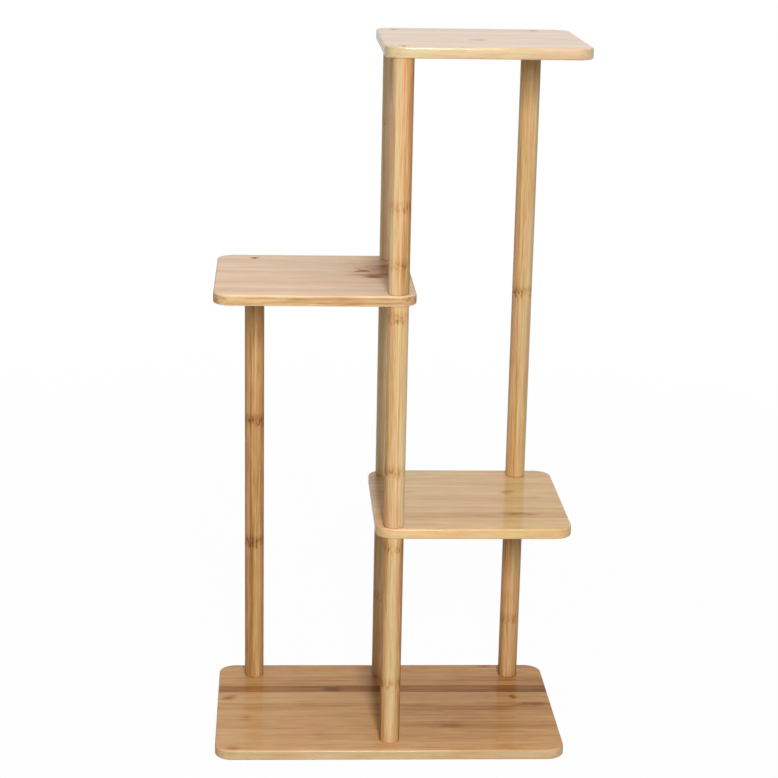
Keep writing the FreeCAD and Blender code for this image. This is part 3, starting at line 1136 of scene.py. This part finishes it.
@dataclass
class Inserts(Fastener):
    """Threaded inserts. A place is the middle of an insert's lower end."""

    wall_thread: Thread = Thread(2.5 * MM, 0.5 * MM)

    def add_one(self, shell: Shell, x: float, y: float, z: float) -> None:
        """Adds an insert: a fine thread inside, and a coarse one outside that grips the wood.

        Args:
            shell: The surface of the group.
            x: Where the axis stands.
            y: Where the axis stands.
            z: The height of the insert's lower end.
        """
        top = z + SIZES.insert_length
        bore = self.thread.rows(SIZES.thread, z, top, self.steps)
        wall = self.wall_thread.rows(SIZES.insert, top, z, self.steps)
        for patch in (bore, [bore[-1], wall[0]], wall, [wall[-1], bore[0]]):
            shell.add_grid(turn_profile(patch, self.steps, x, y))


@dataclass
class Stand:
    """The whole stand: which boards, posts and fasteners there are, and where.

    Its posts stand on four upright lines, each given as (x, y).
    """

    left: tuple[float, float] = field(init=False)
    front: tuple[float, float] = field(init=False)
    rear: tuple[float, float] = field(init=False)
    right: tuple[float, float] = field(init=False)

    def __post_init__(self) -> None:
        """Reads the places of the four upright lines from the posts of the frame."""
        self.left = post_axis("left_post")
        self.front = post_axis("centre_front_post_lower")
        self.rear = post_axis("centre_rear_post_lower")
        self.right = post_axis("right_post_lower")

    def boards(self) -> list[Board]:
        """Lists the boards. A post that ends at a board is bolted, and one that goes on above it
        is joined to the next by a stud.

        Returns:
            The four boards, from the floor up.
        """
        through = [(*line, Hole.THROUGH) for line in (self.front, self.rear, self.right)]
        above = [(*line, Hole.SUNK_ABOVE) for line in (self.front, self.rear, self.right)]
        below = [(*line, Hole.SUNK_BELOW)
                 for line in (self.left, self.front, self.rear, self.right)]
        return [Board("base_board", "bamboo_base_board", BASE_BAMBOO, tuple(below)),
                Board("lower_shelf", "bamboo_lower_shelf", TIER_TWO_BAMBOO, tuple(through)),
                Board("middle_shelf", "bamboo_middle_shelf", TIER_THREE_BAMBOO,
                      (*through[:2], (*self.left, Hole.SUNK_ABOVE))),
                Board("top_shelf", "bamboo_top_shelf", TOP_BAMBOO, tuple(above))]

    def posts(self) -> list[Post]:
        """Lists the posts, each with the values of its wood and of its painted light and shade, in
        the order of a post's fields.

        Returns:
            The nine posts.
        """
        # The centre rear middle and upper posts have paler tones, which paint in light where the
        # front posts shade them.
        chosen = (("left_post", 20, 0.11, 0.35, 0.06, 0.0, (343, 190), 0.4),
                  ("centre_front_post_lower", 75, 0.52, 0.53, 0.0, 0.32, (249, 86), 0.24),
                  ("centre_front_post_middle", 140, 0.93, 0.54, 0.18, 0.0, (512, 338), 0.28),
                  ("centre_front_post_upper", 35, 1.34, 0.46, -0.18, 0.0, (632, 570), 0.22),
                  ("centre_rear_post_lower", 100, 1.75, 0.46, 0.0, 0.0, (120, 12), 0.2),
                  ("centre_rear_post_middle", 160, 2.16, 0.76, 0.0, 0.0, (400, 272), 0.2),
                  ("centre_rear_post_upper", 60, 2.57, 0.78, 0.0, 0.0, (700, 560), 0.2),
                  ("right_post_lower", 120, 2.98, 0.47, 0.06, 0.2, (90, 12), 0.16),
                  ("right_post_upper", 10, 3.39, 0.43, 0.06, -0.05, (500, 790), 0.34))
        return [Post(node, f"bamboo_{node}", *look) for node, *look in chosen]

    def fasteners(self) -> list[Fastener]:
        """Lists the bolts, studs and inserts, at the places that the boards and posts give.

        Returns:
            The groups of fasteners.
        """
        base, lower, middle, top = (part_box(node) for node in
                                    ("base_board", "lower_shelf", "middle_shelf", "top_shelf"))
        feet, heads = [], []
        for post in self.posts():
            low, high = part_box(post.node)
            feet.append((*post_axis(post.node), low.z))
            heads.append((*post_axis(post.node), high.z - SIZES.insert_length))
        lines = (self.left, self.front, self.rear, self.right)
        lower_z, middle_z = (lower[0].z + lower[1].z) / 2, (middle[0].z + middle[1].z) / 2
        return [
            Bolts("base_bolts", "steel_base_bolts",
                  tuple((*line, base[0].z) for line in lines), upside_down=True),
            Bolts("middle_shelf_bolt", "steel_middle_shelf_bolt", ((*self.left, middle[1].z),)),
            Bolts("top_shelf_bolts", "steel_top_shelf_bolts",
                  tuple((*line, top[1].z) for line in lines[1:])),
            Studs("lower_shelf_studs", "steel_lower_shelf_studs",
                  tuple((*line, lower_z) for line in lines[1:])),
            Studs("middle_shelf_studs", "steel_middle_shelf_studs",
                  tuple((*line, middle_z) for line in lines[1:3])),
            Inserts("post_foot_inserts", "steel_post_foot_inserts", tuple(feet)),
            Inserts("post_head_inserts", "steel_post_head_inserts", tuple(heads)),
        ]

    def make(self) -> None:
        """Builds everything, from the floor up."""
        for board in self.boards():
            board.make()
        bamboo = PostBamboo().material()
        for post in self.posts():
            post.make(bamboo)
        steel = ZincPlate().material()
        for fastener in self.fasteners():
            fastener.make(steel)


@dataclass(frozen=True)
class Softbox:
    """A large soft white lamp that looks at the middle of the stand."""

    name: str
    place: tuple[float, float, float]
    width: float
    tall: float
    watts: float

    def make(self, target: np.ndarray) -> None:
        """Hangs the lamp at its place and turns it to the target.

        Args:
            target: The point that it looks at.
        """
        data = bpy.data.lights.new(self.name, "AREA")
        data.shape = "RECTANGLE"
        data.size = self.width
        data.size_y = self.tall
        data.energy = self.watts
        lamp = bpy.data.objects.new(self.name, data)
        lamp.location = self.place
        towards = Vector(target - np.array(self.place))
        lamp.rotation_euler = towards.to_track_quat("-Z", "Y").to_euler()
        lamp.visible_camera = False
        bpy.context.scene.collection.objects.link(lamp)


@dataclass(frozen=True)
class Studio:
    """The white floor, the light and the camera."""

    lamps: tuple[Softbox, ...] = (
        Softbox("key_softbox", (0.12, -2.58, 1.46), 0.35, 0.7, 75),
        Softbox("fill_softbox", (-1.9, -1.3, 1.2), 0.6, 1.0, 6),
        Softbox("overhead_softbox", (0.1, -0.2, 2.6), 1.8, 1.8, 22))
    camera_place: tuple[float, float, float] = (-0.1348, -2.2375, 1.0092)
    camera_turn_deg: tuple[float, float, float] = (73.4222, -0.9006, -2.2930)
    lens_mm: float = 94.076
    sensor_mm: float = 36.0
    shift: tuple[float, float] = (0.0370, 0.0663)
    floor_radius: float = 30.0
    floor_steps: int = 96
    floor_colour: str = "#C4C4C4"
    fibres_per_metre: float = 900.0
    fibre_relief: float = 0.05
    fibre_height: float = 0.05 * MM
    white: float = 1.0
    white_near: float = 0.98
    near: float = 0.4
    far: float = 2.5
    ambient: float = 0.06
    ambient_behind: float = 0.4

    def seen(self, graph: Graph) -> bpy.types.Node:
        """Tells the rays that see the backdrop from those that light the stand.

        Args:
            graph: The graph of the floor or the world.

        Returns:
            1 for rays from the camera, and for glossy and transmitted ones, else 0.
        """
        path = graph.add("LightPath")
        seen = graph.add("Math", path.outputs["Is Camera Ray"], path.outputs["Is Glossy Ray"],
                         operation="MAXIMUM")
        return graph.add("Math", seen, path.outputs["Is Transmission Ray"], operation="MAXIMUM")

    def make_floor(self) -> None:
        """A round, level floor of matt white paper. It is full white far from the stand, and near
        it keeps the stand's shadow.
        """
        shell = Shell()
        shell.add_turned([(0.0, 0.0), (self.floor_radius, 0.0)], self.floor_steps, 0.0, 0.0)
        made = bpy.data.materials.new("matt_white_paper")
        graph = Graph(made)
        place = graph.add("TexCoord").outputs["Object"]
        fibres = graph.add("TexNoise", place, named={"Scale": self.fibres_per_metre})
        relief = graph.add("Bump", named={"Height": fibres, "Strength": self.fibre_relief,
                                          "Distance": self.fibre_height})
        paper = graph.add("BsdfDiffuse", linear(self.floor_colour), named={"Normal": relief})
        glow = graph.add("Emission", WHITE, self.white)
        away = graph.add("VectorMath", place, operation="LENGTH").outputs["Value"]
        backdrop = graph.add("MapRange", away, self.near, self.far, self.white_near, 1.0,
                             interpolation_type="SMOOTHSTEP")
        share = graph.add("Math", self.seen(graph), backdrop, operation="MULTIPLY")
        graph.add("OutputMaterial", graph.add("MixShader", share, paper, glow))
        shell.make("studio_floor", made)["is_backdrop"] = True

    def make_world(self) -> None:
        """A white room, full white where the camera sees it. Its plain ambient light is stronger
        from behind the stand, where the key and fill lamps don't reach.
        """
        world = bpy.data.worlds.new("white_room")
        bpy.context.scene.world = world
        graph = Graph(world)
        way = graph.add("SeparateXYZ", graph.add("TexCoord").outputs["Generated"])
        light = graph.add("MapRange", way.outputs["Y"], 0.0, 1.0, self.ambient,
                          self.ambient_behind)
        strength = graph.add("Mix", self.seen(graph), named={2: light, 3: self.white})
        graph.add("OutputWorld", graph.add("Background", WHITE, strength))

    def make_camera(self) -> None:
        """The camera of the photograph, worked out from the edges of the boards and posts."""
        data = bpy.data.cameras.new("camera")
        data.sensor_width = self.sensor_mm
        data.lens = self.lens_mm
        data.shift_x, data.shift_y = self.shift
        camera = bpy.data.objects.new("camera", data)
        camera.location = self.camera_place
        camera.rotation_euler = [math.radians(angle) for angle in self.camera_turn_deg]
        bpy.context.scene.collection.objects.link(camera)
        bpy.context.scene.camera = camera

    def make(self) -> None:
        """Sets up everything round the stand."""
        self.make_floor()
        self.make_world()
        low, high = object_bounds()
        middle = (np.array(low) + np.array(high)) / 2
        for lamp in self.lamps:
            lamp.make(middle)
        self.make_camera()
        bpy.context.scene.view_settings.view_transform = "Standard"


def main() -> None:
    """Builds the stand and the studio."""
    logging.basicConfig(level=logging.INFO, format="%(name)s %(message)s")
    Stand().make()
    Studio().make()


if __name__ == "__main__":
    main()
